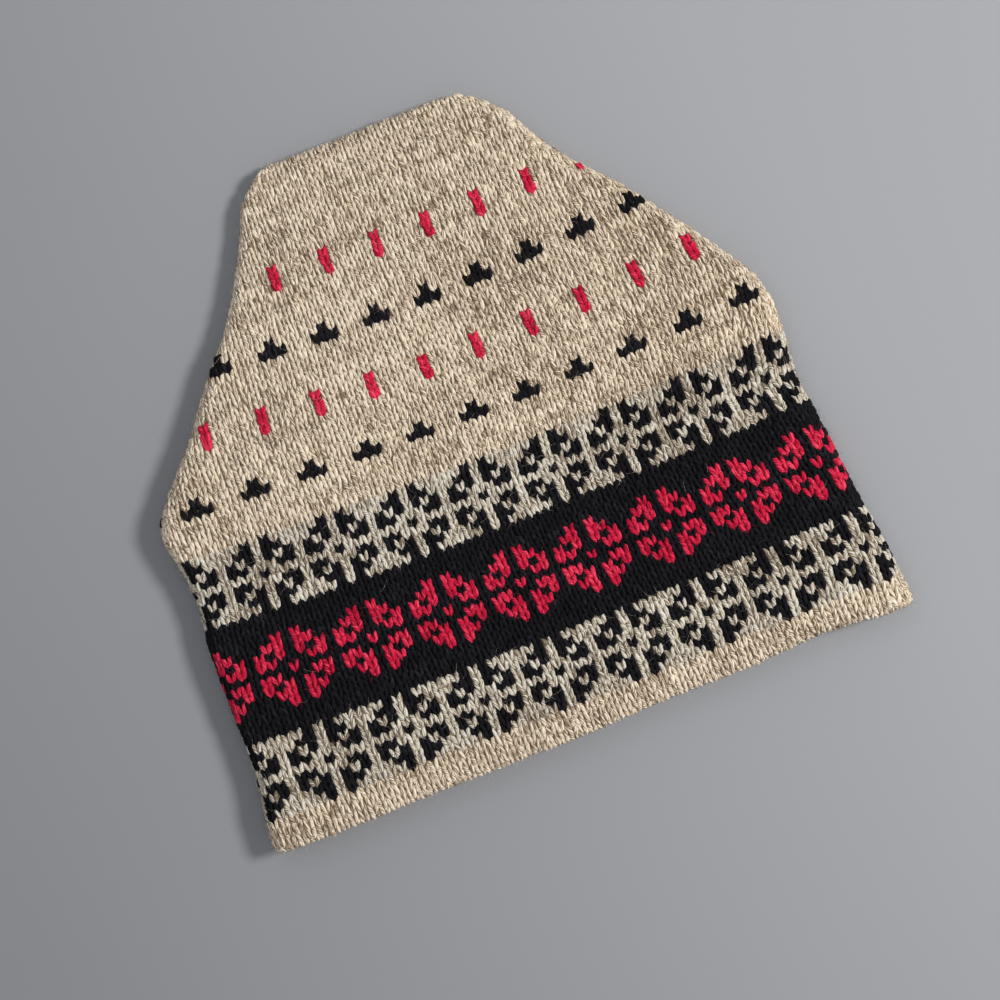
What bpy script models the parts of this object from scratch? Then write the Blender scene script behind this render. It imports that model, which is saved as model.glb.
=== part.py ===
"""A stranded-knit wool beanie lying flat: a turned hem, a colourwork band and a closed crown.

Metres. +X runs along the hem, +Y from the turned edge to the closed top, +Z up from the
surface that the hat lies on.
"""

import math
from collections import namedtuple

import bmesh
import bpy

# The hat as it lies
HEM_WIDTH = 0.240
HAT_LENGTH = 0.2265
HAT_DEPTH = 0.020
ROW_RISE = 0.0028

# The walls, as thick as the knitting, and the lengths of the rows that change yarn or layer
CROWN_WALL = 0.0024
BAND_WALL = 0.0028
FACING_WALL = 0.0020
HEM_LENGTH = 0.0120
BAND_LENGTH = 0.0920
FACING_LENGTH = 0.0290
SEAM_GAP = 0.0003

# How finely the loops of the knitting are divided
FLAT_STEPS = 14
SIDE_STEPS = 8
EDGE_STEPS = 6
OUTER_SPACING = 0.0085
INNER_SPACING = 0.0125

# One row for each section across the hat, from the turned edge up.
# along: share of HAT_LENGTH. left, right: shares of half of HEM_WIDTH.
# side: depth at the rolled sides, swell: how far the middle stands above them, shares of HAT_DEPTH.
# rise: how far this row climbs from the middle to the sides, share of ROW_RISE.
Section = namedtuple("Section", "along left right side swell rise")
SECTIONS = (
    Section(0.000, 0.994, 0.997, 0.76, 0.04, 0.30),
    Section(0.046, 1.003, 0.998, 0.78, 0.06, 0.35),
    Section(0.107, 0.981, 0.984, 0.76, 0.09, 0.60),
    Section(0.184, 0.967, 0.964, 0.74, 0.10, 0.90),
    Section(0.291, 0.962, 0.946, 0.73, 0.11, 1.00),
    Section(0.398, 0.949, 0.922, 0.73, 0.11, 1.00),
    Section(0.459, 0.955, 0.928, 0.76, 0.16, 1.00),
    Section(0.513, 0.974, 0.934, 0.78, 0.21, 1.00),
    Section(0.544, 0.963, 0.929, 0.78, 0.22, 1.00),
    Section(0.570, 0.928, 0.909, 0.77, 0.22, 1.00),
    Section(0.598, 0.882, 0.881, 0.76, 0.21, 1.00),
    Section(0.628, 0.829, 0.841, 0.74, 0.20, 1.00),
    Section(0.689, 0.734, 0.767, 0.71, 0.18, 1.00),
    Section(0.750, 0.636, 0.680, 0.67, 0.16, 1.00),
    Section(0.812, 0.545, 0.578, 0.62, 0.14, 0.90),
    Section(0.873, 0.480, 0.495, 0.56, 0.11, 0.60),
    Section(0.934, 0.428, 0.425, 0.50, 0.06, 0.25),
    Section(0.965, 0.396, 0.374, 0.46, 0.03, 0.10),
    Section(0.985, 0.362, 0.338, 0.44, 0.01, 0.02),
    Section(1.000, 0.330, 0.308, 0.43, 0.00, 0.00),
)

# Soft hollows and bumps of the upper layer; a bump has a depth below zero.
# along: share of HAT_LENGTH. across: share of half of HEM_WIDTH. spread: share of HEM_WIDTH.
# depth: share of HAT_DEPTH.
Dent = namedtuple("Dent", "along across spread depth")
DENTS = (
    Dent(0.20, -0.48, 0.090, 0.045),
    Dent(0.27, 0.22, 0.080, 0.050),
    Dent(0.36, 0.62, 0.070, -0.035),
    Dent(0.44, -0.68, 0.060, 0.050),
    Dent(0.47, 0.08, 0.075, -0.045),
    Dent(0.58, 0.52, 0.070, 0.045),
    Dent(0.62, -0.24, 0.080, 0.040),
    Dent(0.80, 0.12, 0.060, -0.030),
)

# Yarn colours, linear
BEIGE = (0.52, 0.43, 0.32, 1.0)
BLACK = (0.008, 0.008, 0.011, 1.0)
WOOL_ROUGHNESS = 0.92


def tableSlope(rows, index, column):
    """Slope of a column at a table row, from its two neighbours."""
    before = rows[max(index - 1, 0)]
    after = rows[min(index + 1, len(rows) - 1)]
    return (getattr(after, column) - getattr(before, column)) / (after.along - before.along)


def tableValue(column, along):
    """A column of SECTIONS read on a smooth curve through its rows."""
    share = min(max(along, 0.0), 1.0)
    index = max(i for i, row in enumerate(SECTIONS[:-1]) if row.along <= share)
    low, high = SECTIONS[index], SECTIONS[index + 1]
    span = high.along - low.along
    t = (share - low.along) / span
    start, end = getattr(low, column), getattr(high, column)
    startSlope = tableSlope(SECTIONS, index, column) * span
    endSlope = tableSlope(SECTIONS, index + 1, column) * span
    return (
        start * (2 * t**3 - 3 * t**2 + 1)
        + startSlope * (t**3 - 2 * t**2 + t)
        + end * (3 * t**2 - 2 * t**3)
        + endSlope * (t**3 - t**2)
    )


def dentDepth(x, y):
    """How far the upper layer is pressed down at a point."""
    depth = 0.0
    for dent in DENTS:
        dx = x - dent.across * HEM_WIDTH / 2
        dy = y - dent.along * HAT_LENGTH
        spread = dent.spread * HEM_WIDTH
        depth += dent.depth * HAT_DEPTH * math.exp(-(dx * dx + dy * dy) / (spread * spread))
    return depth


def plateau(share):
    """1 over the middle of a run, easing to 0 at both of its ends, for share from -1 to 1."""
    shoulder = 0.45
    t = min(1.0, (1.0 - abs(share)) / shoulder)
    return t * t * (3 - 2 * t)


def knitLoop(y, inset):
    """The closed loop of points around the flattened tube at height y, inset into its wall."""
    rise = tableValue("rise", y / HAT_LENGTH) * ROW_RISE
    along = (y + rise) / HAT_LENGTH
    left = tableValue("left", along) * HEM_WIDTH / 2
    right = tableValue("right", along) * HEM_WIDTH / 2
    side = tableValue("side", along) * HAT_DEPTH
    swell = tableValue("swell", along) * HAT_DEPTH
    middle = side / 2
    radius = middle - inset
    leftEnd, rightEnd = middle - left, right - middle
    centre, half = (leftEnd + rightEnd) / 2, (rightEnd - leftEnd) / 2

    loop = []
    for step in range(FLAT_STEPS):  # upper layer, right to left
        x = rightEnd + (leftEnd - rightEnd) * step / FLAT_STEPS
        lift = plateau((x - centre) / half)
        loop.append((x, side - inset + lift * (swell - dentDepth(x, y))))
    for step in range(SIDE_STEPS):  # left roll, down
        angle = math.pi * (0.5 + step / SIDE_STEPS)
        loop.append((leftEnd + radius * math.cos(angle), middle + radius * math.sin(angle)))
    for step in range(FLAT_STEPS):  # lower layer, left to right
        loop.append((leftEnd + (rightEnd - leftEnd) * step / FLAT_STEPS, inset))
    for step in range(SIDE_STEPS):  # right roll, up
        angle = math.pi * (1.5 + step / SIDE_STEPS)
        loop.append((rightEnd + radius * math.cos(angle), middle + radius * math.sin(angle)))
    return [(x, y + rise * (x / (left if x < 0 else right)) ** 2, z) for x, z in loop]


def wallRun(start, end, inset, spacing):
    """Heights from start to end at one inset, evenly spaced."""
    steps = max(1, math.ceil(abs(end - start) / spacing))
    return [(start + (end - start) * step / steps, inset) for step in range(steps + 1)]


def turn(centreY, centreInset, radius, fromAngle, toAngle, steps):
    """Points of an arc in the wall's own profile; angle 0 points out of the hat, 90 up its length."""
    points = []
    for step in range(steps + 1):
        angle = math.radians(fromAngle + (toAngle - fromAngle) * step / steps)
        points.append((centreY + radius * math.sin(angle), centreInset - radius * math.cos(angle)))
    return points


def loft(name, profile, closed, colour):
    """Sweeps a wall profile of (height, inset) points around the flattened tube."""
    mesh = bmesh.new()
    rings = [[mesh.verts.new(point) for point in knitLoop(y, inset)] for y, inset in profile]
    pairs = list(zip(rings, rings[1:]))
    if closed:
        pairs.append((rings[-1], rings[0]))
    else:
        mesh.faces.new(rings[0])
        mesh.faces.new(rings[-1])
    for lower, upper in pairs:
        for i in range(len(lower)):
            j = (i + 1) % len(lower)
            mesh.faces.new((lower[i], lower[j], upper[j], upper[i]))
    bmesh.ops.recalc_face_normals(mesh, faces=mesh.faces)
    bmesh.ops.triangulate(mesh, faces=mesh.faces)
    data = bpy.data.meshes.new(name)
    mesh.to_mesh(data)
    mesh.free()
    data.shade_smooth()
    data.set_sharp_from_angle(angle=math.radians(50))

    material = bpy.data.materials.new(name)
    material.use_nodes = True
    shader = material.node_tree.nodes["Principled BSDF"]
    shader.inputs["Base Color"].default_value = colour
    shader.inputs["Roughness"].default_value = WOOL_ROUGHNESS
    data.materials.append(material)
    piece = bpy.data.objects.new(name, data)
    collection.objects.link(piece)
    return piece


def makeTurnedHem():
    """The plain rows, the turned edge and the facing behind the band, as one ring."""
    inner = BAND_WALL + SEAM_GAP + FACING_WALL
    edge = inner / 2
    facingOuter = BAND_WALL + SEAM_GAP
    top = HEM_LENGTH - SEAM_GAP
    profile = wallRun(top, edge, 0.0, OUTER_SPACING)[:-1]
    profile += turn(edge, edge, edge, 0, -180, EDGE_STEPS)
    profile += wallRun(edge, FACING_LENGTH, inner, INNER_SPACING)[1:]
    profile += wallRun(FACING_LENGTH, top, facingOuter, INNER_SPACING)
    return loft("turned_hem", profile, True, BEIGE)


def makeColourworkBand():
    """The patterned tube between the hem and the crown."""
    top = HEM_LENGTH + BAND_LENGTH
    profile = wallRun(HEM_LENGTH, top, 0.0, OUTER_SPACING)
    profile += wallRun(top, HEM_LENGTH, BAND_WALL, INNER_SPACING)
    return loft("colourwork_band", profile, True, BLACK)


def makeCrown():
    """The beige crown: open to the band, closed and rounded at the top."""
    bottom = HEM_LENGTH + BAND_LENGTH + SEAM_GAP
    edge = tableValue("side", 1.0) * HAT_DEPTH / 2
    lastAngle = 72
    centre = HAT_LENGTH - edge * math.sin(math.radians(lastAngle))
    profile = turn(centre, edge, edge - CROWN_WALL, lastAngle, 0, EDGE_STEPS // 2)[:-1]
    profile += wallRun(centre, bottom, CROWN_WALL, INNER_SPACING)
    profile += wallRun(bottom, centre, 0.0, OUTER_SPACING)
    profile += turn(centre, edge, edge, 0, lastAngle, EDGE_STEPS)[1:]
    return loft("crown", profile, False, BEIGE)


def centreOnOrigin(pieces):
    """Puts the middle of the hat's underside at the origin."""
    points = [vertex.co for piece in pieces for vertex in piece.data.vertices]
    middle = [(min(p[axis] for p in points) + max(p[axis] for p in points)) / 2 for axis in (0, 1)]
    base = bpy.data.objects.new("beanie_base", None)
    base.location = (-middle[0], -middle[1], 0.0)
    collection.objects.link(base)
    for piece in pieces:
        piece.parent = base


for old in list(bpy.data.objects):
    bpy.data.objects.remove(old)
collection = bpy.data.collections.new("beanie")
bpy.context.scene.collection.children.link(collection)
centreOnOrigin([makeTurnedHem(), makeColourworkBand(), makeCrown()])
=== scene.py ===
import math

import bpy
import numpy as np
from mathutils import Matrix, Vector
from mathutils.bvhtree import BVHTree


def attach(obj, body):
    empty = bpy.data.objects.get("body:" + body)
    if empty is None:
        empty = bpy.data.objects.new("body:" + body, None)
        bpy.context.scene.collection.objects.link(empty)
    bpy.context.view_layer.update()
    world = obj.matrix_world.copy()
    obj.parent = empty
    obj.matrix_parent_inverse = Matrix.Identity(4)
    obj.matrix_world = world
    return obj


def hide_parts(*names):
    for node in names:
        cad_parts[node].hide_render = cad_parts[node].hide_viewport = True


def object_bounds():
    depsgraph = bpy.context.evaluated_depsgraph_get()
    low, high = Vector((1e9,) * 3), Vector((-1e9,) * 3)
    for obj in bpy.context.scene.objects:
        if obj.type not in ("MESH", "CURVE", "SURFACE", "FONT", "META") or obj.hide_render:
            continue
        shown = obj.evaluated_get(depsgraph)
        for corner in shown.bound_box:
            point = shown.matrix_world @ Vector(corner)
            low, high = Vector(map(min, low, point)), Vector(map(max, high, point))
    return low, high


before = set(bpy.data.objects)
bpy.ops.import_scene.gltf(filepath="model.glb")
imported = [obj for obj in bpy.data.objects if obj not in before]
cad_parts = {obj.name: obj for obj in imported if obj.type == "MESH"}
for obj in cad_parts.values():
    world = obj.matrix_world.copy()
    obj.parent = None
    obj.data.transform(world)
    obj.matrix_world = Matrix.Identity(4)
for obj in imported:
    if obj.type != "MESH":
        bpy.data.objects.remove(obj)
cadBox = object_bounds()
print("frame loaded")

# A stranded-knit wool beanie lying flat. Every stitch is two short legs of yarn laid on the CAD walls,
# row by row from the facing, round the turned edge and up to the closed top of the crown.
# Rows count up from the turned edge, and row 0 is the first one that shows. Columns count to the right
# from the middle of the upper layer and on round the hat, so column 72 is in the middle of the lower layer.

hat = {
    "length": cadBox[1].y - cadBox[0].y,
    "edgeY": cadBox[0].y,
    "edgeRadius": 0.00255,  # of the half turn at the mouth
    "topRadius": 0.0043,  # of the closed top
    "rowRise": 0.0028,  # how far the rows climb towards the sides
    "riseShares": ((0.0, 0.30), (0.05, 0.35), (0.11, 0.60), (0.18, 0.90), (0.29, 1.0), (0.75, 1.0),
                   (0.81, 0.9), (0.87, 0.6), (0.93, 0.25), (1.0, 0.0)),
    "bandWall": 0.0028,
    "crownWall": 0.0024,
    "facingWall": 0.0020,
    # Small give of the soft outline: height, how far the left and the right side bulge out
    "sideGive": ((0.0, 0.0008, 0.0008), (0.012, -0.0004, 0.0003), (0.030, 0.0001, 0.0007), (0.052, 0.0009, 0.0002),
                 (0.075, 0.0014, 0.0004), (0.087, 0.0002, 0.0004), (0.100, 0.0004, 0.0011), (0.116, 0.0009, 0.0008),
                 (0.127, 0.0, 0.0008), (0.145, -0.0002, 0.0004), (0.160, 0.0008, 0.0), (0.175, 0.0003, 0.0012),
                 (0.190, 0.0008, 0.0), (0.205, 0.0, 0.0), (0.2124, 0.0004, 0.0015), (0.2165, 0.0011, 0.0012),
                 (0.2207, -0.0002, 0.0006), (0.2235, -0.0022, -0.0018), (0.2265, -0.0055, -0.0048)),
    # x, how far the turned edge stands back there
    "edgeGive": ((-0.12, -0.0003), (-0.105, -0.0009), (-0.08, -0.0007), (-0.06, 0.0001), (0.0, 0.0), (0.02, 0.0011),
                 (0.06, 0.0010), (0.085, 0.0023), (0.098, 0.0013), (0.107, 0.0), (0.12, 0.0)),
}
hat["topCentre"] = hat["length"] - hat["topRadius"] * math.sin(math.radians(72))

gauge = {
    "rowHeight": 0.00279,
    "crownRowHeight": 0.00306,
    "crownRowsFrom": 57,
    "lastRow": 79,
    "facingRows": 11,
    "ringStitches": 144,
    "decreasesFrom": 43,  # the first row with stitches taken away at the sides
    # row, width of a stitch, x of column 0
    "widths": ((0, 0.003487, -0.0045), (10, 0.003487, -0.0046), (20, 0.003453, -0.0053),
               (32, 0.003345, -0.0064), (42, 0.003387, -0.0056), (49, 0.003362, -0.0056),
               (57, 0.003231, -0.0058), (64, 0.003161, -0.0056), (80, 0.003123, -0.0056)),
    # How this hat's knitting departs from an even gauge, in millimetres, with s the column over 30:
    # row, then the columns' shift to the right as four terms (1, s, s squared, s cubed),
    # then the rows' shift upwards as three terms (1, s, s squared)
    "drift": ((0, 0.4, -1.5, -0.8, 4.0, 0.0, 0.0, 0.0), (8, 0.5, -1.75, -1.0, 4.7, 1.1, 0.2, -0.3),
              (20, 0.0, -3.0, -1.4, 4.6, 0.8, -0.7, -0.3), (32, -0.25, -2.7, -1.2, 2.7, 0.05, -0.6, 0.65),
              (42, 0.05, -4.7, -0.8, 5.2, -0.25, -0.4, 1.1), (50, 0.0, -3.5, 0.0, 4.8, -1.5, -0.25, 3.8),
              (57, 0.1, -2.4, 0.0, 6.0, 0.85, 0.45, 3.0), (65, -0.4, -1.3, 0.5, 4.7, 0.9, -0.7, 1.2),
              (76, -0.4, -1.0, 0.5, 3.0, 0.3, 0.0, 0.0), (80, -0.4, -1.0, 0.5, 3.0, 0.0, 0.0, 0.0)),
}

chart = {
    "flowers": ((4, "black", "beige"), (16, "red", "black"), (28, "black", "beige")),  # first row, flower, ground
    "petals": ((1,), (1, 2), (1, 3), (2, 3), (0,), (2, 3), (1, 3), (1, 2), (1,)),  # columns either side, rows upwards
    "repeat": 8,
    "stripes": ((13, 15, "black"), (25, 27, "black")),
    "darkSpots": (42, 57),  # first rows of the small black spots: three stitches, then one above
    "redSpots": (49, 64),  # first rows of the small red spots: one stitch wide, three high
    "spotRepeat": 6,
}


def fromTable(table, key, column=1):
    rows = np.array(table, float)
    return np.interp(key, rows[:, 0], rows[:, column])


def smoothStep(t):
    t = np.clip(t, 0.0, 1.0)
    return t * t * (3 - 2 * t)


def hashed(i, j, seed):
    n = np.sin(i * 127.1 + j * 311.7 + seed * 74.7) * 43758.5453
    return n - np.floor(n)


def softNoise(x, y, seed):
    i, j = np.floor(x), np.floor(y)
    u, v = smoothStep(x - i), smoothStep(y - j)
    low = hashed(i, j, seed) * (1 - u) + hashed(i + 1, j, seed) * u
    high = hashed(i, j + 1, seed) * (1 - u) + hashed(i + 1, j + 1, seed) * u
    return low * (1 - v) + high * v


def unit(vectors):
    return vectors / np.maximum(np.linalg.norm(vectors, axis=-1, keepdims=True), 1e-12)


# The surface of the knitting, read from the CAD walls by casting rays at them
casting = {
    "levelStep": 0.0014,
    "frontPoints": 120,
    "rollPoints": 20,
    "backPoints": 120,
    "nudge": 0.0004,  # the middle one of three casts skips the narrow gaps between the CAD solids
    "reach": 0.05,
}


def wallTree():
    corners, faces = [], []
    for name in ("turned_hem", "colourwork_band", "crown"):
        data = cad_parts[name].data
        start = len(corners)
        corners += [v.co.copy() for v in data.vertices]
        faces += [[start + i for i in p.vertices] for p in data.polygons]
    return BVHTree.FromPolygons(corners, faces)


walls = wallTree()


def riseAt(height):
    return hat["rowRise"] * float(fromTable(hat["riseShares"], height / hat["length"]))


def castTo(x, z, wayX, wayZ, level, halfWidth, reach=casting["reach"]):
    # How far the wall's outer face is from (x, z) along a direction, on the curved row at this level
    found = []
    climb = (x / halfWidth) ** 2
    for height, rise in level:
        start = (x + wayX * reach, hat["edgeY"] + height + rise * climb, z + wayZ * reach)
        hit = walls.ray_cast(start, (-wayX, 0, -wayZ), reach * 2)
        if hit[0] is not None:
            found.append(reach - hit[3])
    return sorted(found)[len(found) // 2] if found else float("nan")


def outerLoop(height):
    # The outer loop at this height: upper layer left to right, right roll, lower layer back, left roll
    share = height / hat["length"]
    middle = 0.0076 if share < 0.55 else 0.0076 - (share - 0.55) * 0.0072
    level = [(height + nudge, riseAt(height + nudge)) for nudge in (-casting["nudge"], 0.0, casting["nudge"])]
    right = castTo(0.11, middle, 1, 0, level, 0.11, 0.2) + 0.11
    left = -0.11 - castTo(-0.11, middle, -1, 0, level, 0.11, 0.2)
    radii = []
    for end, way in ((left, 1), (right, -1)):
        radius = middle
        for again in range(3):
            radius = 0.5 * castTo(end + way * radius, 0.0, 0, 1, level, abs(end))
        radii.append(radius)
    leftCore, rightCore = left + radii[0], right - radii[1]
    points = []
    for x in np.linspace(leftCore, rightCore, casting["frontPoints"], endpoint=False):
        points.append((x, castTo(x, 0.0, 0, 1, level, abs(left if x < 0 else right))))
    for angle in np.linspace(90, -90, casting["rollPoints"], endpoint=False):
        wayX, wayZ = math.cos(math.radians(angle)), math.sin(math.radians(angle))
        away = castTo(rightCore, radii[1], wayX, wayZ, level, abs(right))
        points.append((rightCore + wayX * away, radii[1] + wayZ * away))
    for x in np.linspace(rightCore, leftCore, casting["backPoints"], endpoint=False):
        points.append((x, -castTo(x, 0.0, 0, -1, level, abs(left if x < 0 else right))))
    for angle in np.linspace(270, 90, casting["rollPoints"], endpoint=False):
        wayX, wayZ = math.cos(math.radians(angle)), math.sin(math.radians(angle))
        away = castTo(leftCore, radii[0], wayX, wayZ, level, abs(left))
        points.append((leftCore + wayX * away, radii[0] + wayZ * away))
    return np.array(points)


def filledIn(values):
    # Any cast that missed takes a value between its neighbours
    bad = np.isnan(values)
    if bad.any():
        spots = np.arange(len(values))
        values[bad] = np.interp(spots[bad], spots[~bad], values[~bad])
    return values


def blurred(values, axis, weights, wrap):
    # A few neighbours mixed in, so that the CAD facets don't show in the knitting
    reach = len(weights) // 2
    out = np.zeros_like(values)
    for step, weight in zip(range(-reach, reach + 1), weights):
        if wrap:
            out += weight * np.roll(values, -step, axis)
        else:
            spots = np.clip(np.arange(values.shape[axis]) + step, 0, values.shape[axis] - 1)
            out += weight * np.take(values, spots, axis)
    return out / sum(weights)


levelHeights = np.arange(hat["edgeRadius"] + 0.0002, hat["topCentre"], casting["levelStep"])
loops = np.array([outerLoop(height) for height in levelHeights])
for loop in loops:
    for column in (0, 1):
        loop[:, column] = filledIn(loop[:, column])
loops = blurred(loops, 1, (1, 2, 3, 2, 1), True)
soft = blurred(loops, 0, (1, 2, 3, 4, 5, 4, 3, 2, 1), False)
keep = smoothStep((levelHeights - 0.205) / 0.01)[:, None, None]  # the corners of the closed top stay crisp
loops = soft * (1 - keep) + loops * keep
print("outer loops read:", loops.shape)


# Levels of the knitting, at every half row, and the places on them by arc from column 0
def rowLength(row):
    row = np.asarray(row, float)
    change = gauge["crownRowsFrom"]
    return np.minimum(row, change) * gauge["rowHeight"] + np.maximum(row - change, 0) * gauge["crownRowHeight"]


def wallPlace(row):
    # Height above the turned edge, and depth under the outer loop, where a row lies
    radius = hat["edgeRadius"]
    quarter = radius * math.pi / 2
    length = float(rowLength(row))
    straightFrom = 0.011
    if length >= hat["topCentre"]:
        angle = (length - hat["topCentre"]) / hat["topRadius"]
        return hat["topCentre"] + hat["topRadius"] * math.sin(angle), hat["topRadius"] * (1 - math.cos(angle))
    if length >= straightFrom:
        return length, 0.0
    if length >= 0:
        run = length / straightFrom * (quarter + straightFrom - radius)
        if run >= quarter:
            return radius + run - quarter, 0.0
        return radius - radius * math.cos(run / radius), radius - radius * math.sin(run / radius)
    run = -length
    if run < quarter:
        return radius - radius * math.cos(run / radius), radius + radius * math.sin(run / radius)
    return radius + run - quarter, 2 * radius


def drift(row, column, first, terms):
    s = np.clip(column / 30.0, -1.5, 1.5)
    table = np.array(gauge["drift"], float)
    return 0.001 * sum(np.interp(row, table[:, 0], table[:, first + k]) * s ** k for k in range(terms))


def frontArcOf(row, column):
    return column * fromTable(gauge["widths"], row) + drift(row, column, 1, 4)


levelRows = np.arange(-gauge["facingRows"] - 1.5, gauge["lastRow"] + 4.01, 0.5)
arcStep = 0.0008
arcs = np.arange(-0.17, 0.45, arcStep)
gridPlaces = np.zeros((len(levelRows), len(arcs), 3))
around, leftArc, rightArc, leftColumn, rightColumn, frontWidth, backWidth, backArc = (
    np.zeros(len(levelRows)) for _ in range(8))
backMiddleX = ringWidth = None
for level, row in enumerate(levelRows):
    height, depth = wallPlace(row)
    place = np.clip(height, levelHeights[0], levelHeights[-1])
    index = min(int((place - levelHeights[0]) / casting["levelStep"]), len(levelHeights) - 2)
    share = (place - levelHeights[index]) / casting["levelStep"]
    loop = loops[index] * (1 - share) + loops[index + 1] * share
    leftGive, rightGive = fromTable(hat["sideGive"], height, 1), fromTable(hat["sideGive"], height, 2)
    loop[:, 0] *= np.where(loop[:, 0] < 0, 1 - leftGive / loop[:, 0].min(), 1 + rightGive / loop[:, 0].max())
    tangent = unit(np.roll(loop, -1, 0) - np.roll(loop, 1, 0))
    outward = np.stack((-tangent[:, 1], tangent[:, 0]), 1)
    steps = np.linalg.norm(np.roll(loop, -1, 0) - loop, axis=1)
    along = np.concatenate(((0.0,), np.cumsum(steps)))
    total = along[-1]
    frontPoints = casting["frontPoints"]
    zeroArc = np.interp(fromTable(gauge["widths"], row, 2), loop[:frontPoints, 0], along[:frontPoints])
    rightArc[level] = along[np.argmax(loop[:, 0])] - zeroArc
    leftArc[level] = along[np.argmin(loop[:, 0])] - zeroArc - total
    around[level] = total
    frontWidth[level] = fromTable(gauge["widths"], row)
    tries = np.linspace(-50, 50, 401)
    leftColumn[level], rightColumn[level] = np.interp(
        (leftArc[level], rightArc[level]), frontArcOf(row, tries), tries)
    if row <= gauge["decreasesFrom"]:
        backStitches = gauge["ringStitches"] - (rightColumn[level] - leftColumn[level])
        backWidth[level] = (total - rightArc[level] + leftArc[level]) / backStitches
        backArc[level] = rightArc[level] + (72 - rightColumn[level]) * backWidth[level]
        ringWidth = backWidth[level] / frontWidth[level]
        backMiddleX = np.interp(backArc[level] + zeroArc, along[:-1], loop[:, 0])
    else:
        backWidth[level] = ringWidth * frontWidth[level]
        first = frontPoints + casting["rollPoints"]
        back = slice(first, first + casting["backPoints"])
        backArc[level] = np.interp(-backMiddleX, -loop[back, 0], along[:-1][back]) - zeroArc
    halfWidth = np.where(loop[:, 0] < 0, -loop[:, 0].min(), loop[:, 0].max())
    inset = np.full(len(loop), depth)
    if height > hat["topCentre"]:  # the rolls shrink to points on the ridge
        rolls = np.abs(outward[:, 0]) > 0.05
        inset[rolls] = min(depth, hat["topRadius"])
    flat = loop - outward * inset[:, None]
    y = hat["edgeY"] + height + riseAt(height) * (flat[:, 0] / halfWidth) ** 2
    y = y + fromTable(hat["edgeGive"], flat[:, 0]) * (1 - smoothStep(height / 0.016))
    points = np.stack((flat[:, 0], y, flat[:, 1]), 1)
    keys = along[:-1] - zeroArc
    keys = np.concatenate((keys - total, keys, keys + total))
    for axis in range(3):
        gridPlaces[level, :, axis] = np.interp(arcs, keys, np.tile(points[:, axis], 3))

gridOutward = unit(np.cross(np.gradient(gridPlaces, axis=1), np.gradient(gridPlaces, axis=0)))
gridOutward = unit(blurred(gridOutward, 1, (1, 2, 1), False))


def onGrid(grid, row, arc):
    level = np.clip((row - levelRows[0]) / 0.5, 0, len(levelRows) - 1.001)
    step = np.clip((arc - arcs[0]) / arcStep, 0, len(arcs) - 1.001)
    i, j = level.astype(int), step.astype(int)
    u, v = (level - i)[..., None], (step - j)[..., None]
    return (grid[i, j] * (1 - u) * (1 - v) + grid[i + 1, j] * u * (1 - v)
            + grid[i, j + 1] * (1 - u) * v + grid[i + 1, j + 1] * u * v)


def atLevel(values, row):
    return np.interp(row, levelRows, values)


def arcOf(row, column, part):
    # part: 0 on the ring, 1 upper layer of the crown, 2 lower layer
    back = atLevel(backWidth, row)
    left, right = atLevel(leftArc, row), atLevel(rightArc, row)
    leftEnd, rightEnd = atLevel(leftColumn, row), atLevel(rightColumn, row)
    front = frontArcOf(row, column)
    ring = np.where(column > rightEnd, right + (column - rightEnd) * back, front)
    ring = np.where(column < leftEnd, left + (column - leftEnd) * back, ring)
    lower = atLevel(backArc, row) + (column - 72) * back
    return np.choose(part, (ring, front, lower))


def rowShift(row, column, part):
    # How far a row climbs at this column, in rows; the lower layer mirrors the upper one
    mirrored = np.where(column > 36, 72 - column, np.where(column < -36, -72 - column, column))
    side = np.choose(part, (mirrored, column, 72 - column))
    return drift(row, side, 5, 3) / 0.0029


print("grid of places:", gridPlaces.shape)


# The chart: which yarn each stitch is knitted in
yarns = ("beige", "black", "red")


def chartYarn(row, column):
    row, column = np.asarray(row), np.asarray(column)
    out = np.zeros(row.shape, int)
    for first, last, yarn in chart["stripes"]:
        out[(row >= first) & (row <= last)] = yarns.index(yarn)
    offset = (column + chart["repeat"] // 2) % chart["repeat"] - chart["repeat"] // 2
    for first, flower, ground in chart["flowers"]:
        for step, petals in enumerate(chart["petals"]):
            here = row == first + step
            petal = np.isin(np.abs(offset), petals)
            out[here & petal] = yarns.index(flower)
            out[here & ~petal] = yarns.index(ground)
    repeat = chart["spotRepeat"]
    dark = (column - 2 + repeat // 2) % repeat - repeat // 2
    for first in chart["darkSpots"]:
        out[(row == first) & (np.abs(dark) <= 1)] = 1
        out[(row == first + 1) & (dark == 0)] = 1
    red = (column - 5) % repeat == 0
    for first in chart["redSpots"]:
        out[(row >= first) & (row <= first + 2) & red] = 2
    return out


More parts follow.
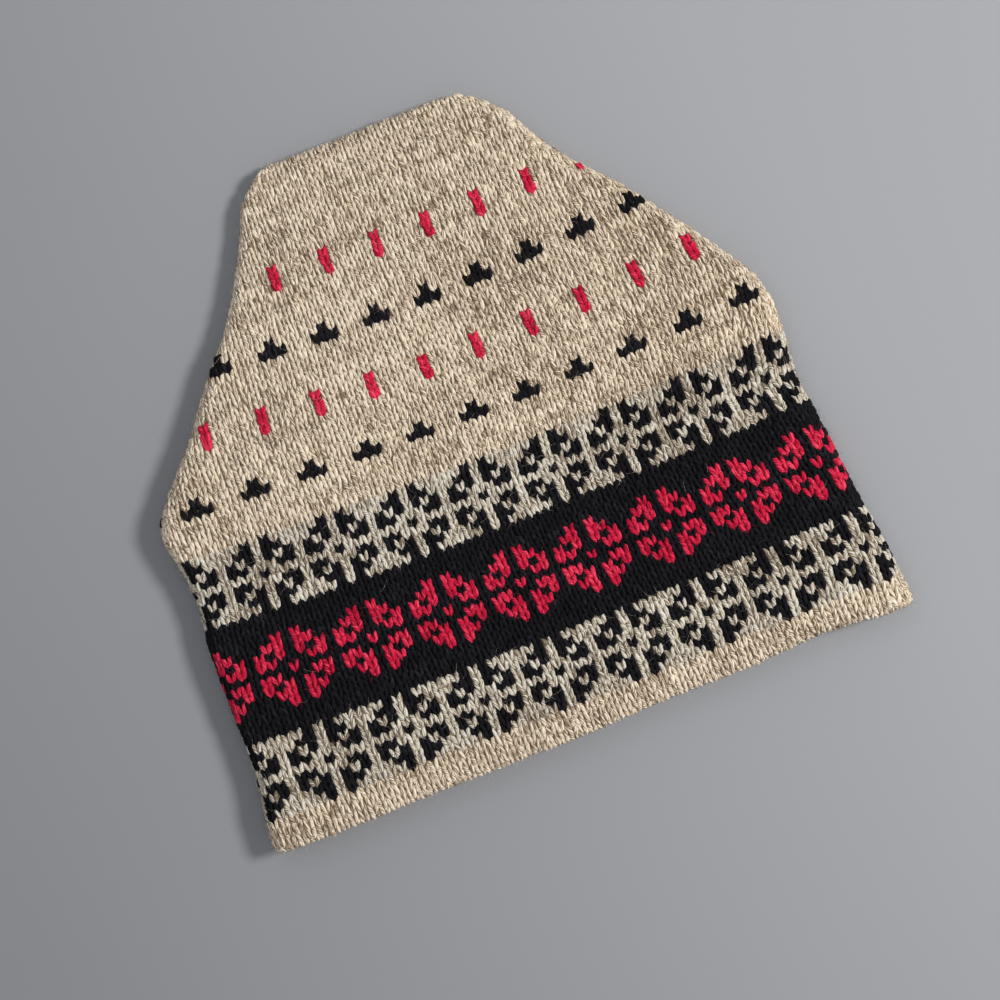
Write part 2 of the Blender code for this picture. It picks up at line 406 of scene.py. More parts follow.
# Every stitch of the hat: row, column and the part of the knitting that it belongs to
def allStitches():
    rows, columns, parts = [], [], []

    def add(row, cols, part):
        cols = np.asarray(cols, float)
        rows.append(np.full(len(cols), float(row)))
        columns.append(cols)
        parts.append(np.full(len(cols), part))

    half = gauge["ringStitches"] // 2
    for row in range(-gauge["facingRows"], gauge["decreasesFrom"] + 1):
        add(row, np.arange(-half + 1, half + 1) + half // 2, 0)
    for row in range(gauge["decreasesFrom"] + 1, gauge["lastRow"] + 1):
        cols = np.arange(-45.0, 46.0)
        upper = row + 0.7 + rowShift(row, cols, np.full(len(cols), 1))
        width, arc = atLevel(frontWidth, upper), frontArcOf(upper, cols)
        past = {77: 0.5, 78: -0.5, 79: -2.0}.get(row, 0.9) * width  # the last rows stop short of the closed corners
        add(row, cols[(arc > atLevel(leftArc, upper) - past) & (arc < atLevel(rightArc, upper) + past)], 1)
        back = cols + 72
        lower = row + 0.7 + rowShift(row, back, np.full(len(cols), 2))
        arc = atLevel(backArc, lower) + cols * atLevel(backWidth, lower)
        last = atLevel(leftArc, lower) + atLevel(around, lower)
        short = {78: 0.4, 79: 2.0}.get(row, 0.0) * width
        add(row, back[(arc > atLevel(rightArc, lower) + short) & (arc < last - short)], 2)
    return np.concatenate(rows), np.concatenate(columns), np.concatenate(parts)


stitch = {
    # Rows below its own place where a leg starts on top of the row below, rows from there to its top behind
    # the row above, and columns from the middle of the stitch to the leg's lower and upper end
    "forms": {"band": (-0.27, 1.70, 0.09, 0.42), "crown": (-0.27, 1.72, 0.10, 0.39),
              "dark spot": (-0.26, 1.68, 0.09, 0.40), "red spot": (-0.16, 1.46, 0.07, 0.36)},
    "radius": 0.226,  # of a leg, in stitch widths
    "tipRadius": 0.42,  # share of the radius at both ends
    "swell": {"beige": 1.0, "black": 1.05, "red": 1.15},  # how full a stitch of this yarn is between the others
    "spotSwell": 1.20,  # once more, for the small spots of the crown
    "depth": 0.00080,  # of the leg's middle line under the CAD face
    "tuckLow": 0.00050,  # how much deeper the ends lie
    "tuckHigh": 0.00135,
    "unevenPlace": 0.05,
    "unevenSize": 0.09,
    "unevenTone": 0.055,
    "rowWander": 0.16,
    "columnWander": 0.12,
}

rng = np.random.default_rng(11)
stitchRow, stitchColumn, stitchPart = allStitches()
stitchYarn = chartYarn(stitchRow.astype(int), np.round(stitchColumn).astype(int))
stitchArc = arcOf(stitchRow + 0.5, stitchColumn, stitchPart)
fromLeft, fromRight = stitchArc - atLevel(leftArc, stitchRow), atLevel(rightArc, stitchRow) - stitchArc
# The small spots end at the sides of the hat, and the red ones a little sooner
nearSide = (fromLeft < 0.0018) | (fromRight < 0.0012) | ((stitchYarn == 2) & (np.minimum(fromLeft, fromRight) < 0.0049))
sidesBelow = (fromRight > -0.006) | (fromLeft > atLevel(around, stitchRow) - 0.006)
firstSpot = (stitchRow >= chart["darkSpots"][0]) & (np.abs(stitchColumn - 104) < 2)
stitchYarn[((stitchPart == 1) & nearSide) | ((stitchPart == 2) & sidesBelow) | ((stitchPart == 0) & firstSpot)] = 0
count = len(stitchRow)
legRow = np.repeat(stitchRow, 2)
legColumn = np.repeat(stitchColumn, 2)
legPart = np.repeat(stitchPart, 2)
legYarn = np.repeat(stitchYarn, 2)
legSide = np.tile((-1.0, 1.0), count)
shiftRow = np.repeat(rng.normal(0, stitch["unevenPlace"], count), 2)
shiftColumn = np.repeat(rng.normal(0, stitch["unevenPlace"], count), 2)
legSize = np.repeat(rng.normal(1, stitch["unevenSize"], count), 2) * rng.normal(1, stitch["unevenSize"] * 0.6, 2 * count)
legLean = rng.normal(0, 0.03, 2 * count)
legTone = rng.normal(0, stitch["unevenTone"], 2 * count)
legSwell = np.array([stitch["swell"][yarn] for yarn in yarns])[legYarn]
spotLegs = (legRow >= chart["darkSpots"][0]) & (legYarn > 0)
legSwell[spotLegs] *= stitch["spotSwell"]
legForm = np.array(list(stitch["forms"].values()))[np.where(spotLegs, legYarn + 1, legRow >= 37).astype(int)]
legDepth = np.repeat(rng.normal(0, 0.00009, count), 2) + rng.normal(0, 0.00005, 2 * count)
print("stitches:", count)


def legLines(legs, rings):
    # Middle lines, outward directions and radii of the chosen legs
    t = np.linspace(0, 1, rings)[None, :]
    row, column, part, side = (a[legs][:, None] for a in (legRow, legColumn, legPart, legSide))
    wander = softNoise(column / 7.0, row / 5.0, 3) - 0.5
    sway = softNoise(column / 6.0, row / 9.0, 8) - 0.5
    lift = np.clip(row / 6.0, 0, 1)
    bottom, reach, low, high = (legForm[legs, k][:, None] for k in range(4))
    rowAt = row + shiftRow[legs][:, None] + stitch["rowWander"] * lift * wander + bottom + reach * t
    rowAt = rowAt + rowShift(row, column, part)
    rowAt = np.minimum(rowAt, gauge["lastRow"] + 2.0)
    swell = legSwell[legs][:, None]
    splay = 1 + (swell - 1) * 0.45
    spread = low + (high - low) * t ** 0.9 + legLean[legs][:, None] * t
    columnAt = column + shiftColumn[legs][:, None] + stitch["columnWander"] * sway + side * spread * splay
    arc = arcOf(rowAt, columnAt, np.broadcast_to(part, rowAt.shape))
    place = onGrid(gridPlaces, rowAt, arc)
    outward = unit(onGrid(gridOutward, rowAt, arc))
    tuck = stitch["tuckLow"] * np.clip(1 - t / 0.42, 0, 1) ** 1.7 + stitch["tuckHigh"] * np.clip(1 - (1 - t) / 0.36, 0, 1) ** 1.7
    tuck = tuck * np.where(np.abs(row + 1) < 2.5, 0.6, 1.0)  # smoother round the turned edge
    deep = stitch["depth"] + legDepth[legs][:, None] - 0.0006 * (swell - 1) + tuck
    width = atLevel(frontWidth, row + 0.5) * swell
    radius = width * stitch["radius"] * legSize[legs][:, None] * (1 - (1 - stitch["tipRadius"]) * np.abs(2 * t - 1) ** 3)
    place = place - outward * deep[..., None]
    place[..., 2] = np.maximum(place[..., 2], radius * 0.9)  # the lower layer lies on the floor
    return place, outward, radius


tonePatches = {
    # Broad lighter and darker patches of tone: column, row, reach in columns, reach in rows, change of tone
    "patches": ((-5, 60, 9, 20, 0.10), (-19, 50, 8, 8, 0.09), (20, 32, 7, 6, -0.12), (25, 42, 5, 8, -0.07),
                (25, 10, 5, 6, -0.11), (-31, 8, 5, 8, -0.10), (-17, 2, 6, 5, 0.06), (29, 1, 6, 3, 0.07), (8, 68, 6, 9, -0.04)),
}


def yarnTone(legs, rings):
    # Marl: short flecks and long light and dark stretches along each row's yarn, and soft clouds over the cloth
    t = np.linspace(0, 1, rings)[None, :]
    row, column, side = (a[legs][:, None] for a in (legRow, legColumn, legSide))
    travel = 2 * column + (side > 0) + np.where(side < 0, t, 1 - t) * 0.92
    flecks = softNoise(travel * 1.3, row * 7.0, 21)
    fine = softNoise(travel * 3.4, row * 5.0, 22)
    stretches = softNoise(travel * 0.16, row * 3.0, 23)
    clouds = softNoise(column / 6.0, row / 5.0, 24)
    broad = softNoise(column / 17.0 + 5.3, row / 13.0, 25)
    tone = 0.32 * flecks + 0.30 * fine + 0.13 * stretches + 0.11 * clouds + 0.08 * broad + 0.03 + legTone[legs][:, None]
    for middleColumn, middleRow, columns, rows, change in tonePatches["patches"]:
        away = ((column - middleColumn) / columns) ** 2 + ((row - middleRow) / rows) ** 2
        tone = tone + change * np.exp(-away)
    return tone


def strandMesh(name, centres, outward, radii, sides, tone, tipLength=0.9):
    # Closed strands: rings of corners along each middle line, drawn to a point at both ends
    strands, rings = centres.shape[:2]
    along = unit(np.gradient(centres, axis=1))
    across = unit(np.cross(along, outward))
    up = np.cross(across, along)
    angle = 2 * math.pi * (np.arange(sides) + 0.5) / sides
    ring = (centres[:, :, None] + radii[:, :, None, None]
            * (np.cos(angle)[:, None] * across[:, :, None] + np.sin(angle)[:, None] * up[:, :, None]))
    first = centres[:, :1] - along[:, :1] * radii[:, :1, None] * tipLength
    last = centres[:, -1:] + along[:, -1:] * radii[:, -1:, None] * tipLength
    corners = np.concatenate((first, ring.reshape(strands, rings * sides, 3), last), 1)
    each = corners.shape[1]

    # One strand's faces, and where they lie on the yarn and in the strand's own square of the bake map
    quads, tips, quadSpots, tipSpots = [], [], [], []
    for j in range(sides):
        k = (j + 1) % sides
        for i in range(rings - 1):
            quads.append([1 + i * sides + j, 1 + (i + 1) * sides + j, 1 + (i + 1) * sides + k, 1 + i * sides + k])
            low, high = i / (rings - 1), (i + 1) / (rings - 1)
            quadSpots.append([(j / sides, low), (j / sides, high), ((j + 1) / sides, high), ((j + 1) / sides, low)])
        tips.append([0, 1 + j, 1 + k])
        tipSpots.append([((j + 0.5) / sides, -0.13), (j / sides, 0.0), ((j + 1) / sides, 0.0)])
        end = 1 + (rings - 1) * sides
        tips.append([each - 1, end + k, end + j])
        tipSpots.append([((j + 0.5) / sides, 1.13), ((j + 1) / sides, 1.0), (j / sides, 1.0)])
    template = np.concatenate((np.array(quads).ravel(), np.array(tips).ravel()))
    spots = np.concatenate((np.array(quadSpots).reshape(-1, 2), np.array(tipSpots).reshape(-1, 2)))
    sizes = np.array([4] * len(quads) + [3] * len(tips))
    loopVertices = (template[None] + each * np.arange(strands)[:, None]).ravel()
    starts = np.concatenate(((0,), np.cumsum(np.tile(sizes, strands))[:-1]))

    data = bpy.data.meshes.new(name)
    data.vertices.add(strands * each)
    data.vertices.foreach_set("co", corners.astype(np.float32).ravel())
    data.loops.add(len(loopVertices))
    data.loops.foreach_set("vertex_index", loopVertices.astype(np.int32))
    data.polygons.add(len(starts))
    data.polygons.foreach_set("loop_start", starts.astype(np.int32))
    data.polygons.foreach_set("use_smooth", np.ones(len(starts), bool))
    data.update(calc_edges=True)

    yarnMap = data.uv_layers.new(name="yarn")
    yarnMap.data.foreach_set("uv", np.tile(spots, (strands, 1)).astype(np.float32).ravel())
    bakeMap = data.uv_layers.new(name="OFBake")
    cells = math.ceil(math.sqrt(strands))
    inCell = np.stack((0.05 + 0.90 * spots[:, 0], 0.05 + 0.90 * (spots[:, 1] + 0.13) / 1.26), 1)
    corner = np.stack((np.arange(strands) % cells, np.arange(strands) // cells), 1)
    bakeMap.data.foreach_set("uv", ((inCell[None] + corner[:, None]) / cells).astype(np.float32).ravel())
    data.uv_layers.active = yarnMap

    ends = np.stack((tone[:, 0], tone[:, -1]), 1)
    spread = np.concatenate((ends[:, :1], np.repeat(tone, sides, 1), ends[:, 1:]), 1)
    data.attributes.new("tone", "FLOAT", "POINT").data.foreach_set("value", spread.astype(np.float32).ravel())
    return data


def addPiece(name, data, materials):
    piece = bpy.data.objects.new(name, data)
    bpy.context.scene.collection.objects.link(piece)
    for material in materials:
        data.materials.append(material)
    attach(piece, "root")
    return piece


# Materials
def newGroup(name, inputs, outputs):
    group = bpy.data.node_groups.new(name, "ShaderNodeTree")
    for label, kind, value in inputs:
        socket = group.interface.new_socket(name=label, in_out="INPUT", socket_type=kind)
        if value is not None:
            socket.default_value = value
    for label, kind in outputs:
        group.interface.new_socket(name=label, in_out="OUTPUT", socket_type=kind)
    return group, group.nodes.new("NodeGroupInput"), group.nodes.new("NodeGroupOutput")


def mathNode(tree, operation, first, second=None, third=None):
    node = tree.nodes.new("ShaderNodeMath")
    node.operation = operation
    for spot, value in enumerate((first, second, third)):
        if value is None:
            continue
        if isinstance(value, (int, float)):
            node.inputs[spot].default_value = value
        else:
            tree.links.new(value, node.inputs[spot])
    return node.outputs[0]


def plyGroup():
    # Plies wound round each other, and the fine hairs of the spun wool that follow them
    group, given, result = newGroup(
        "spunPlies",
        (("Plies", "NodeSocketFloat", 4.0), ("Twist", "NodeSocketFloat", -0.45), ("Hairs", "NodeSocketFloat", 12.0),
         ("Phase", "NodeSocketFloat", 0.0)),
        (("Height", "NodeSocketFloat"), ("Strand", "NodeSocketFloat"), ("Hair", "NodeSocketFloat")))
    links = group.links
    uv = group.nodes.new("ShaderNodeUVMap")
    uv.uv_map = "yarn"
    apart = group.nodes.new("ShaderNodeSeparateXYZ")
    links.new(uv.outputs[0], apart.inputs[0])
    wound = mathNode(group, "MULTIPLY_ADD", apart.outputs[1], given.outputs["Twist"], apart.outputs[0])
    wound = mathNode(group, "ADD", wound, given.outputs["Phase"])
    turns = mathNode(group, "MULTIPLY", wound, given.outputs["Plies"])
    wave = mathNode(group, "SINE", mathNode(group, "MULTIPLY", turns, math.pi))
    links.new(mathNode(group, "ABSOLUTE", wave), result.inputs["Height"])
    links.new(mathNode(group, "MULTIPLY_ADD", wave, 0.5, 0.5), result.inputs["Strand"])
    position = group.nodes.new("ShaderNodeTexCoord")
    place = group.nodes.new("ShaderNodeCombineXYZ")
    links.new(mathNode(group, "MULTIPLY", wound, given.outputs["Hairs"]), place.inputs[0])
    links.new(mathNode(group, "MULTIPLY", apart.outputs[1], 1.1), place.inputs[1])
    shift = group.nodes.new("ShaderNodeVectorMath")
    shift.operation = "MULTIPLY_ADD"
    links.new(position.outputs["Object"], shift.inputs[0])
    shift.inputs[1].default_value = (230, 230, 230)
    links.new(place.outputs[0], shift.inputs[2])
    noise = group.nodes.new("ShaderNodeTexNoise")
    noise.inputs["Scale"].default_value = 1.0
    noise.inputs["Detail"].default_value = 3.0
    links.new(shift.outputs[0], noise.inputs["Vector"])
    sharp = group.nodes.new("ShaderNodeMapRange")
    sharp.interpolation_type = "SMOOTHSTEP"
    sharp.inputs["From Min"].default_value = 0.36
    sharp.inputs["From Max"].default_value = 0.64
    links.new(noise.outputs[0], sharp.inputs["Value"])
    links.new(sharp.outputs[0], result.inputs["Hair"])
    return group


def fuzzGroup():
    # Small soft irregularities of felted wool, with no direction
    group, given, result = newGroup(
        "feltedFuzz", (("Scale", "NodeSocketFloat", 1600.0),), (("Fuzz", "NodeSocketFloat"),))
    position = group.nodes.new("ShaderNodeTexCoord")
    noise = group.nodes.new("ShaderNodeTexNoise")
    noise.inputs["Detail"].default_value = 4.0
    noise.inputs["Roughness"].default_value = 0.6
    group.links.new(position.outputs["Object"], noise.inputs["Vector"])
    group.links.new(given.outputs["Scale"], noise.inputs["Scale"])
    group.links.new(noise.outputs[0], result.inputs["Fuzz"])
    return group


wool = {
    "beige": {
        "colours": ((0.0, (0.150, 0.104, 0.066)), (0.28, (0.262, 0.190, 0.122)), (0.44, (0.520, 0.416, 0.306)),
                    (0.60, (0.684, 0.573, 0.432)), (1.0, (0.764, 0.672, 0.534))),
        "hairShare": 0.38, "fuzzShare": 0.18, "plyShare": 0.22, "grooveShadeShare": 0.46,
        "sheen": 0.12, "sheenColour": (1.0, 0.94, 0.84, 1), "bump": 0.6,
    },
    "black": {
        "colours": ((0.0, (0.0050, 0.0047, 0.0056)), (0.6, (0.0074, 0.0070, 0.0084)), (1.0, (0.018, 0.017, 0.021))),
        "hairShare": 0.6, "fuzzShare": 0.6, "plyShare": 0.1, "grooveShadeShare": 0.15,
        "sheen": 0.010, "sheenColour": (0.8, 0.82, 0.9, 1), "bump": 0.3, "specular": 0.04,
    },
    "red": {
        "colours": ((0.0, (0.21, 0.001, 0.014)), (0.5, (0.47, 0.007, 0.038)), (1.0, (0.72, 0.055, 0.105))),
        "hairShare": 0.45, "fuzzShare": 0.3, "plyShare": 0.2, "grooveShadeShare": 0.35,
        "sheen": 0.04, "sheenColour": (1.0, 0.55, 0.62, 1), "bump": 0.45,
    },
}
# The beige yarn looks a little cooler and greyer where it is stranded with the black one
cooler = (0.85, 0.92, 1.0)
wool["band beige"] = {**wool["beige"], "colours": [
    (position, tuple(c * k for c, k in zip(colour, cooler))) for position, colour in wool["beige"]["colours"]]}
plies, fuzz = plyGroup(), fuzzGroup()


def woolMaterial(name, look, spun):
    # spun: the piece has the yarn map and tones of single strands. Otherwise it is the felted ground under them, held
    # at a dark tone of the yarn as painted shade for the gaps between the stitches.
    material = bpy.data.materials.new(name)
    material.use_nodes = True
    tree = material.node_tree
    shader = tree.nodes["Principled BSDF"]
    felt = tree.nodes.new("ShaderNodeGroup")
    felt.node_tree = fuzz
    shade = mathNode(tree, "SUBTRACT", felt.outputs["Fuzz"], 0.5)
    shade = mathNode(tree, "MULTIPLY", shade, look["fuzzShare"] * 2)
    height = felt.outputs["Fuzz"]
    if spun:
        tone = tree.nodes.new("ShaderNodeAttribute")
        tone.attribute_name = "tone"
        ply = tree.nodes.new("ShaderNodeGroup")
        ply.node_tree = plies
        tree.links.new(mathNode(tree, "MULTIPLY", tone.outputs["Fac"], 2.7), ply.inputs["Phase"])
        hair = mathNode(tree, "MULTIPLY", mathNode(tree, "SUBTRACT", ply.outputs["Hair"], 0.5), look["hairShare"])
        strand = mathNode(tree, "MULTIPLY", mathNode(tree, "SUBTRACT", ply.outputs["Strand"], 0.5), look["plyShare"])
        # painted shade: the grooves between the plies are darker in colour
        grooveShade = mathNode(tree, "MULTIPLY", mathNode(tree, "SUBTRACT", ply.outputs["Height"], 0.62), look["grooveShadeShare"])
        strand = mathNode(tree, "ADD", strand, grooveShade)
        shade = mathNode(tree, "ADD", mathNode(tree, "ADD", tone.outputs["Fac"], hair), mathNode(tree, "ADD", shade, strand))
        height = mathNode(tree, "ADD", ply.outputs["Height"], ply.outputs["Hair"])
    else:
        # painted shade: the ground takes a dark tone of the yarn, for the shade in the gaps between the stitches
        shade = mathNode(tree, "ADD", shade, 0.30)
    ramp = tree.nodes.new("ShaderNodeValToRGB")
    ramp.color_ramp.interpolation = "EASE"
    stops = ramp.color_ramp.elements
    stops[0].position, stops[-1].position = look["colours"][0][0], look["colours"][-1][0]
    for position, colour in look["colours"][1:-1]:
        stops.new(position)
    for stop, (position, colour) in zip(stops, look["colours"]):
        stop.color = (*colour, 1)
    tree.links.new(shade, ramp.inputs[0])
    tree.links.new(ramp.outputs[0], shader.inputs["Base Color"])
    bump = tree.nodes.new("ShaderNodeBump")
    bump.inputs["Strength"].default_value = look["bump"]
    bump.inputs["Distance"].default_value = 0.00025
    tree.links.new(height, bump.inputs["Height"])
    tree.links.new(bump.outputs[0], shader.inputs["Normal"])
    shader.inputs["Roughness"].default_value = 0.95
    shader.inputs["Specular IOR Level"].default_value = look.get("specular", 0.15)
    shader.inputs["Sheen Weight"].default_value = look["sheen"]
    shader.inputs["Sheen Roughness"].default_value = 0.45
    shader.inputs["Sheen Tint"].default_value = look["sheenColour"]
    return material


spunWool = {yarn: woolMaterial(yarn + " spun wool", wool[yarn], True) for yarn in wool}
paintedShadeGround = {yarn: woolMaterial(yarn + " ground in painted shade", wool[yarn], False) for yarn in yarns}
print("materials made")

# The legs, in pieces by zone and yarn. The upper layer has finer strands than the lower one.
legArc = arcOf(legRow, legColumn, legPart)
frontLegs = (legPart == 1) | ((legPart == 0) & (legArc > atLevel(leftArc, legRow) - 0.004)
                              & (legArc < atLevel(rightArc, legRow) + 0.004))
zones = (
    ("hem_facing_deep", legRow < -6, 4, 2),
    ("hem_facing", (legRow < 0) & (legRow >= -6), 4, 3),
    ("hem_upper", (legRow >= 0) & (legRow < 4) & frontLegs, 6, 4),
    ("hem_lower", (legRow >= 0) & (legRow < 4) & ~frontLegs, 4, 3),
    ("band_upper", (legRow >= 4) & (legRow < 37) & frontLegs, 6, 4),
    ("band_lower", (legRow >= 4) & (legRow < 37) & ~frontLegs, 4, 3),
    ("crown_upper", (legRow >= 37) & (legRow < 56) & frontLegs, 6, 4),
    ("crown_top", (legRow >= 56) & frontLegs, 6, 4),
    ("crown_lower", (legRow >= 37) & ~frontLegs, 4, 3),
)
triangles = 0
for zone, inZone, sides, rings in zones:
    for index, yarn in enumerate(yarns):
        legs = np.flatnonzero(inZone & (legYarn == index))
        if not len(legs):
            continue
        centres, outward, radii = legLines(legs, rings)
        name = zone + "_" + yarn + "_stitches"
        data = strandMesh(name, centres, outward, radii, sides, yarnTone(legs, rings))
        kind = "band beige" if yarn == "beige" and zone.startswith("band") else yarn
        addPiece(name, data, [spunWool[kind]])
        size = sum(len(p.vertices) - 2 for p in data.polygons)
        triangles += size
        print(name, len(legs), "legs,", size, "triangles")
print("stitches laid:", triangles, "triangles")


# The ground under the stitches: closed shells that stand for the CAD walls
ground = {"depth": 0.00125, "hemSkin": 0.0026, "facingSkin": 0.0020}


def shellRing(row, depth, perFace, even):
    # A loop of places under the stitches, perFace columns apart, or evenly spaced where stitches are taken away
    steps = gauge["ringStitches"] // perFace
    columns = np.arange(steps) * perFace - 35.5
    rowAt = np.full(steps, float(row)) + rowShift(np.full(steps, float(row)), columns, np.zeros(steps, int))
    if even:
        arc = atLevel(leftArc, rowAt) + atLevel(around, rowAt) * (np.arange(steps) + 0.5) / steps
    else:
        arc = arcOf(rowAt, columns, np.zeros(steps, int))
    arc = np.where(arc > arcs[-2], arc - atLevel(around, row), arc)
    return onGrid(gridPlaces, rowAt, arc) - unit(onGrid(gridOutward, rowAt, arc)) * depth


def shell(name, profile, perFace, closed, colourRows):
    # profile: (row, depth) down the outside and back up the inside
    rings = [shellRing(row, depth, perFace, not closed) for row, depth in profile]
    steps = len(rings[0])
    corners = np.concatenate(rings)
    faces, looks = [], []
    pairs = list(zip(range(len(rings) - 1), range(1, len(rings))))
    if closed:
        pairs.append((len(rings) - 1, 0))
    for lower, upper in pairs:
        row = (profile[lower][0] + profile[upper][0]) / 2
        for k in range(steps):
            faces.append((lower * steps + k, lower * steps + (k + 1) % steps,
                          upper * steps + (k + 1) % steps, upper * steps + k))
            column = int(round(k * perFace - 35.5 + perFace / 2))
            looks.append(int(chartYarn(np.array([math.floor(row)]), np.array([column]))[0]) if colourRows else 0)
    if not closed:
        faces.append(tuple(reversed(range(steps))))
        faces.append(tuple((len(rings) - 1) * steps + k for k in range(steps)))
        looks += [0, 0]
    data = bpy.data.meshes.new(name)
    data.from_pydata(corners.tolist(), [], faces)
    data.polygons.foreach_set("material_index", looks)
    data.polygons.foreach_set("use_smooth", [True] * len(faces))
    data.update()
    return data


allGrounds = [paintedShadeGround[yarn] for yarn in yarns]
deep = ground["depth"]
hemOutside = [(row, deep) for row in np.arange(4.3, -10.61, -0.5)]
hemInside = [(row, ground["facingSkin"]) for row in np.arange(-10.6, 0.01, 0.8)] + [(4.3, ground["hemSkin"])]
hemShell = shell("hem_ground", list(reversed(hemOutside + hemInside)), 1, True, False)
hemPiece = addPiece("hem_ground", hemShell, allGrounds)
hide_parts("turned_hem")
bandOutside = [(row, deep) for row in np.arange(4.0, 37.01, 1.0)]
bandInside = [(row, hat["bandWall"]) for row in np.linspace(37.0, 4.4, 12)]
bandShell = shell("band_ground", bandOutside + bandInside, 1, True, True)
bandPiece = addPiece("band_ground", bandShell, allGrounds)
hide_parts("colourwork_band")
crownInside = [(row, hat["crownWall"]) for row in np.linspace(77.0, 37.2, 14)]
crownOutside = [(row, deep) for row in np.arange(37.2, 79.3, 0.9)]
crownShell = shell("crown_ground", crownInside + crownOutside, 2, False, False)
crownPiece = addPiece("crown_ground", crownShell, allGrounds)
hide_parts("crown")
print("ground shells made")

# Stray fibres that stand off the yarn, and a few long hairs caught on the dark band
fibres = {
    "beige": {"count": 5600, "length": (0.0014, 0.0046), "curl": 0.35, "rise": 0.25, "rings": 3},
    "black": {"count": 2100, "length": (0.0014, 0.0042), "curl": 0.35, "rise": 0.25, "rings": 3},
    "red": {"count": 800, "length": (0.0012, 0.0034), "curl": 0.35, "rise": 0.25, "rings": 3},
    "long": {"count": 26, "length": (0.0020, 0.0045), "curl": 0.9, "rise": 0.08, "rings": 7},
    "radius": 0.000026,
}


def fibreMesh(name, legs, look):
    number, rings = len(legs), look["rings"]
    centres, outward, radii = legLines(legs, 5)
    pick = rng.integers(1, 4, number)
    spot = centres[np.arange(number), pick]
    up = outward[np.arange(number), pick]
    along = unit(centres[np.arange(number), pick] - centres[np.arange(number), pick - 1])
    across = np.cross(along, up)
    spin = rng.uniform(0, 2 * math.pi, number)[:, None]
    way = np.cos(spin) * along + np.sin(spin) * across
    curl = np.cross(up, way) * rng.normal(0, look["curl"], number)[:, None]
    rise = np.abs(rng.normal(look["rise"], 0.28 if look["rise"] > 0.1 else 0.05, number))[:, None] + 0.04
    length = rng.uniform(*look["length"], number)[:, None]
    radius = radii[np.arange(number), pick][:, None] * 0.8
    t = np.linspace(0, 1, rings)
    points = [spot + up * radius + length * (way * s + curl * s * s + up * rise * s * (1.25 - s * 0.6)) for s in t]
    lines = np.stack(points, 1)
    lines[:, :, 2] = np.maximum(lines[:, :, 2], 0.0003)
    thin = fibres["radius"] * np.tile(np.where(t < 0.9, 1.0, 0.7), (number, 1))
    side = unit(np.cross(way, up + 0.1 * along))
    return strandMesh(name, lines, np.repeat(side[:, None], rings, 1), thin, 3, np.full((number, rings), 0.75), 3.0)


def layFibres(name, legs, weight, kind, yarn):
    chosen = rng.choice(legs, fibres[kind]["count"], p=weight[legs] / weight[legs].sum())
    addPiece(name, fibreMesh(name, chosen, fibres[kind]), [spunWool[yarn]])


legEdge = np.minimum(np.abs(legArc - atLevel(leftArc, legRow)), np.abs(legArc - atLevel(rightArc, legRow)))
atOutline = (legEdge < 0.003) | (np.abs(legRow - 0.5) < 1) | (legRow > 77)
fibreWeight = np.where(frontLegs, 1.0, 0.35) * np.where(atOutline, 2.2, 1.0)
for index, yarn in enumerate(yarns):
    layFibres("stray_" + yarn + "_fibres", np.flatnonzero((legYarn == index) & (legRow > -2)), fibreWeight, yarn, yarn)
layFibres("long_stray_fibres", np.flatnonzero((legYarn > 0) & frontLegs & (legRow > 3)), fibreWeight, "long", "beige")
print("stray fibres made")

# Floor, light and camera
setting = {
    "floorColour": (0.300, 0.304, 0.318),
    "floorSize": 2.4,
    "cameraTurn": -21.43,
    "lookAt": (-0.0017, -0.0259),
    "cameraHeight": 0.76,
    "metresPerPixel": 0.000347,
    "pictureSide": 1000,
}


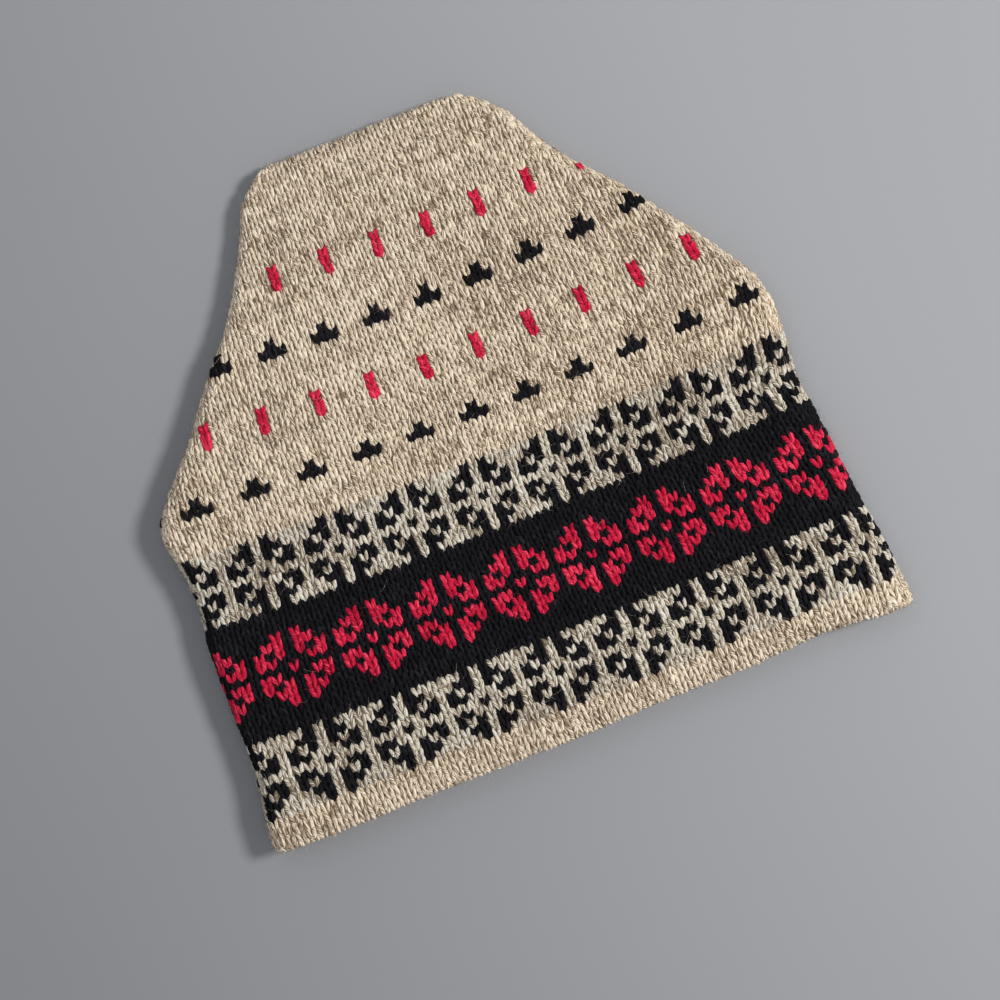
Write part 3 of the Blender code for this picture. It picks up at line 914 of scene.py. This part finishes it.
def floorMaterial():
    material = bpy.data.materials.new("pale floor")
    material.use_nodes = True
    tree = material.node_tree
    shader = tree.nodes["Principled BSDF"]
    position = tree.nodes.new("ShaderNodeTexCoord")
    noise = tree.nodes.new("ShaderNodeTexNoise")
    noise.inputs["Scale"].default_value = 2.2
    noise.inputs["Detail"].default_value = 3.0
    tree.links.new(position.outputs["Object"], noise.inputs["Vector"])
    apart = tree.nodes.new("ShaderNodeSeparateXYZ")
    tree.links.new(position.outputs["Object"], apart.inputs[0])
    # painted shadow: the floor's colour is darker towards the lower left, where a soft shadow lies
    # a little darker towards the lower left, as on the table in the photograph
    paintedFloorShadow = mathNode(tree, "ADD", mathNode(tree, "MULTIPLY", apart.outputs[0], 1.15),
                    mathNode(tree, "MULTIPLY", apart.outputs[1], 0.20))
    paintedFloorShadow = mathNode(tree, "ADD", mathNode(tree, "MULTIPLY_ADD", noise.outputs[0], 0.10, 0.50), paintedFloorShadow)
    ramp = tree.nodes.new("ShaderNodeValToRGB")
    tone = setting["floorColour"]
    ramp.color_ramp.elements[0].position = 0.28
    ramp.color_ramp.elements[1].position = 0.70
    ramp.color_ramp.elements[0].color = (*(c * 0.66 for c in tone), 1)
    ramp.color_ramp.elements[1].color = (*(c * 0.91 for c in tone), 1)
    tree.links.new(paintedFloorShadow, ramp.inputs[0])
    tree.links.new(ramp.outputs[0], shader.inputs["Base Color"])
    shader.inputs["Roughness"].default_value = 0.85
    shader.inputs["Specular IOR Level"].default_value = 0.2
    return material


side = setting["floorSize"] / 2
floorData = bpy.data.meshes.new("floor")
floorData.from_pydata([(-side, -side, -0.0002), (side, -side, -0.0002), (side, side, -0.0002), (-side, side, -0.0002)],
                      [], [(0, 1, 2, 3)])
floorData.materials.append(floorMaterial())
floor = bpy.data.objects.new("floor", floorData)
bpy.context.scene.collection.objects.link(floor)

turnAngle = math.radians(setting["cameraTurn"])


def photoWay(rightward, upward, out):
    # A direction given by the picture's right, its top and the way to the camera
    right = Vector((math.cos(turnAngle), math.sin(turnAngle), 0))
    up = Vector((-math.sin(turnAngle), math.cos(turnAngle), 0))
    return (right * rightward + up * upward + Vector((0, 0, out))).normalized()


def areaLight(name, way, distance, size, power, colour):
    light = bpy.data.lights.new(name, "AREA")
    light.shape = "DISK"
    light.size = size
    light.energy = power
    light.color = colour
    lamp = bpy.data.objects.new(name, light)
    lamp.location = way * distance
    lamp.rotation_euler = way.to_track_quat("Z", "Y").to_euler()
    bpy.context.scene.collection.objects.link(lamp)
    return lamp


areaLight("window light", photoWay(0.64, 0.17, 0.74), 1.6, 0.36, 25, (1.0, 0.985, 0.965))
areaLight("room light", photoWay(-0.2, 0.2, 1.0), 1.9, 1.8, 8.5, (0.95, 0.97, 1.0))

world = bpy.data.worlds.new("room")
world.use_nodes = True
world.node_tree.nodes["Background"].inputs[0].default_value = (0.93, 0.96, 1.0, 1)
world.node_tree.nodes["Background"].inputs[1].default_value = 0.46
bpy.context.scene.world = world
bpy.context.scene.view_settings.view_transform = "Standard"

cameraData = bpy.data.cameras.new("camera")
cameraData.sensor_width = 36
cameraData.lens = 36 * setting["cameraHeight"] / (setting["metresPerPixel"] * setting["pictureSide"])
cameraData.clip_start = 0.01
camera = bpy.data.objects.new("camera", cameraData)
camera.location = (*setting["lookAt"], setting["cameraHeight"] + 0.014)
camera.rotation_euler = (0, 0, turnAngle)
bpy.context.scene.collection.objects.link(camera)
bpy.context.scene.camera = camera
print("floor, light and camera set")
